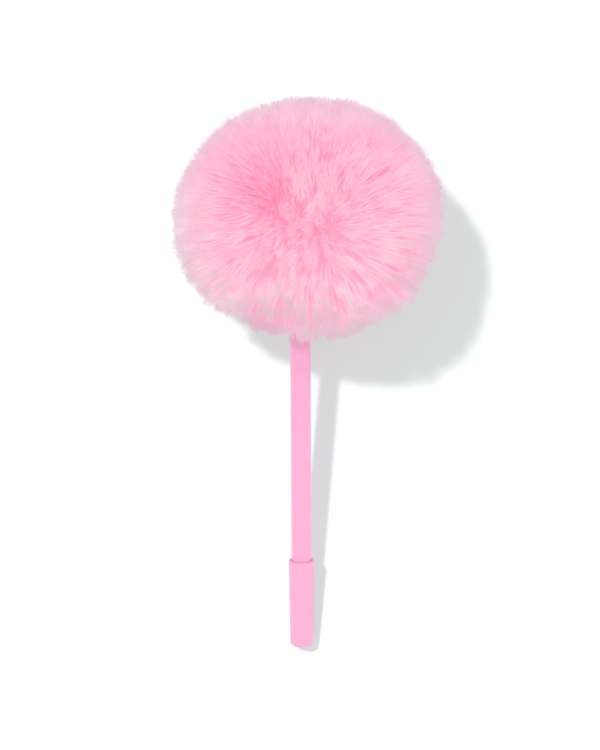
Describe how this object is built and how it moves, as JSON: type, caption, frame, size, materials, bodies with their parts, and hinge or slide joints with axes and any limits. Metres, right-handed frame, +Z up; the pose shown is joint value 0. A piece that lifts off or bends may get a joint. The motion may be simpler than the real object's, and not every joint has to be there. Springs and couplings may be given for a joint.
{
  "type": "gel pen",
  "caption": "Slim capped gel pen in pink plastic with a large round faux-fur pompom on its rear end, lying on its side, with a pull-off cap, a removable refill and a rolling ball point.",
  "frame": {"origin": "on the surface that the pen lies on, under the middle of its overall length and in the plane of its axis", "axes": "+Y along the surface from the cap's end to the pompom, +Z up, +X to the right when looking along +Y; the pen's own axis rises 11.5 degrees from +Y towards +Z"},
  "size_m": [0.105, 0.218, 0.0912],
  "materials": {
    "cap_plastic": "satin",
    "barrel_plastic": "satin",
    "stopper_rubber": "matte",
    "holder_plastic": "satin",
    "point_metal": "polished",
    "ball_metal": "polished",
    "clear_plastic": "gloss",
    "gel_ink": "gloss",
    "grease": "gloss",
    "glue": "satin",
    "thread": "matte",
    "fur_backing": "matte",
    "stuffing_fibre": "matte",
    "faux_fur": "matte"
  },
  "bodies": {
    "cap": {"cap_shell": "cap_plastic", "tip_stopper": "stopper_rubber"},
    "refill_unit": {"grip_section": "barrel_plastic", "tip_holder": "holder_plastic", "tip_point": "point_metal", "refill_tube": "clear_plastic", "ink_column": "gel_ink"},
    "ball": {"writing_ball": "ball_metal"},
    "follower": {"ink_follower": "grease"},
    "barrel": {"barrel_tube": "barrel_plastic", "end_plug": "barrel_plastic", "glue_bead": "glue", "gather_thread": "thread", "pompom_backing": "fur_backing", "pompom_stuffing": "stuffing_fibre", "pompom_pile": "faux_fur"}
  },
  "joints": [
    {"name": "cap_pull", "type": "slide", "parent": "cap", "child": "refill_unit", "axis": [0, 0.9799, 0.1994], "range_m": [0, 0.04]},
    {"name": "barrel_pull", "type": "slide", "parent": "refill_unit", "child": "barrel", "axis": [0, 0.9799, 0.1994], "range_m": [0, 0.115]},
    {"name": "ball_roll", "type": "hinge", "parent": "refill_unit", "child": "ball", "pos_m": [0, -0.10406, 0.00523], "axis": [1, 0, 0], "continuous": true},
    {"name": "follower_travel", "type": "slide", "parent": "refill_unit", "child": "follower", "axis": [0, -0.9799, -0.1994], "range_m": [0, 0.084], "deforming": ["ink_column"]}
  ]
}
